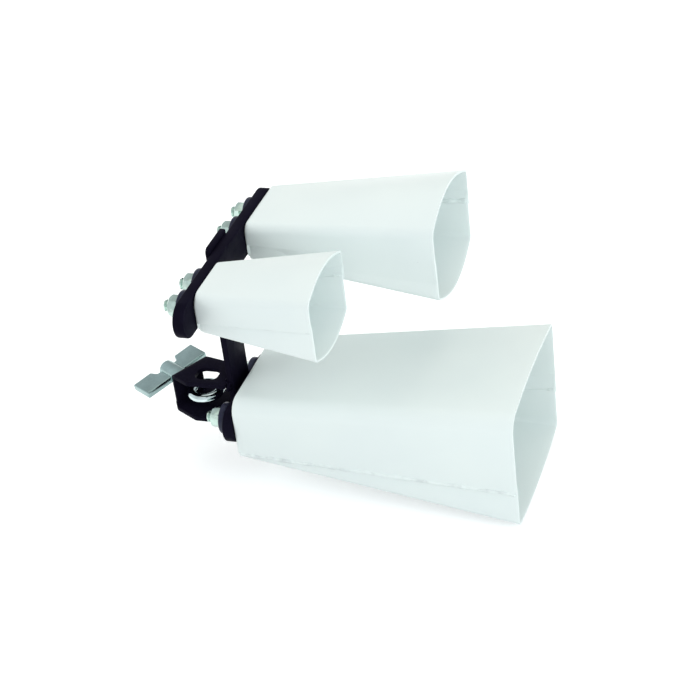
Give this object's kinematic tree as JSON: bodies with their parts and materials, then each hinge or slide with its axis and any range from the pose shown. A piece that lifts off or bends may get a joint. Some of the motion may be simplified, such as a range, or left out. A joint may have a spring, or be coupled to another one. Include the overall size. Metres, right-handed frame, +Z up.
{
  "type": "triple cowbell",
  "caption": "Cluster of tapered sheet-steel cowbells of graded size bolted to a black bracket, with an eyebolt clamp and wing nut that grips a stand rod.",
  "frame": {"origin": "on the axis of the rod that the clamp grips, level with the middle of the eye", "axes": "+X from the bells' closed ends to their mouths, +Y from the small bell to the medium bell, +Z up along the rod"},
  "size_m": [0.2944, 0.1866, 0.1961],
  "materials": {
    "bell_white": "smooth white powder coat with a faint cool tint, satin",
    "bracket_black": "satin black powder coat",
    "zinc": "bright zinc plate",
    "chrome": "satin chrome plate",
    "rubber_black": "matt black rubber"
  },
  "bodies": {
    "frame": {"large_bell_upper_shell": "bell_white", "large_bell_lower_shell": "bell_white", "large_bell_bolt_near": "zinc", "large_bell_bolt_far": "zinc", "large_bell_nut_near": "zinc", "large_bell_nut_far": "zinc", "large_bell_washer_near": "rubber_black", "large_bell_washer_far": "rubber_black", "medium_bell_upper_shell": "bell_white", "medium_bell_lower_shell": "bell_white", "medium_bell_bolt_near": "zinc", "medium_bell_bolt_far": "zinc", "medium_bell_nut_near": "zinc", "medium_bell_nut_far": "zinc", "medium_bell_washer_near": "rubber_black", "medium_bell_washer_far": "rubber_black", "small_bell_upper_shell": "bell_white", "small_bell_lower_shell": "bell_white", "small_bell_bolt_near": "zinc", "small_bell_bolt_far": "zinc", "small_bell_nut_near": "zinc", "small_bell_nut_far": "zinc", "small_bell_washer_near": "rubber_black", "small_bell_washer_far": "rubber_black", "cross_bar": "bracket_black", "lower_bar": "bracket_black", "upright_arm": "bracket_black", "rod_clamp": "bracket_black"},
    "wing_nut": {"wing_nut": "chrome"},
    "eyebolt": {"eyebolt": "chrome"}
  },
  "joints": [
    {"name": "wing_turn", "type": "hinge", "parent": "frame", "child": "wing_nut", "pos_m": [0, 0, 0], "axis": [0.8704, -0.4924, 0], "range_deg": [-1440, 288]},
    {"name": "eye_draw", "type": "slide", "parent": "frame", "child": "eyebolt", "axis": [-0.8704, 0.4924, 0], "range_m": [-0.005, 0.001]}
  ],
  "couplings": [
    {"joint": "eye_draw", "follows": "wing_turn", "m_per_rad": 0.00019894}
  ]
}
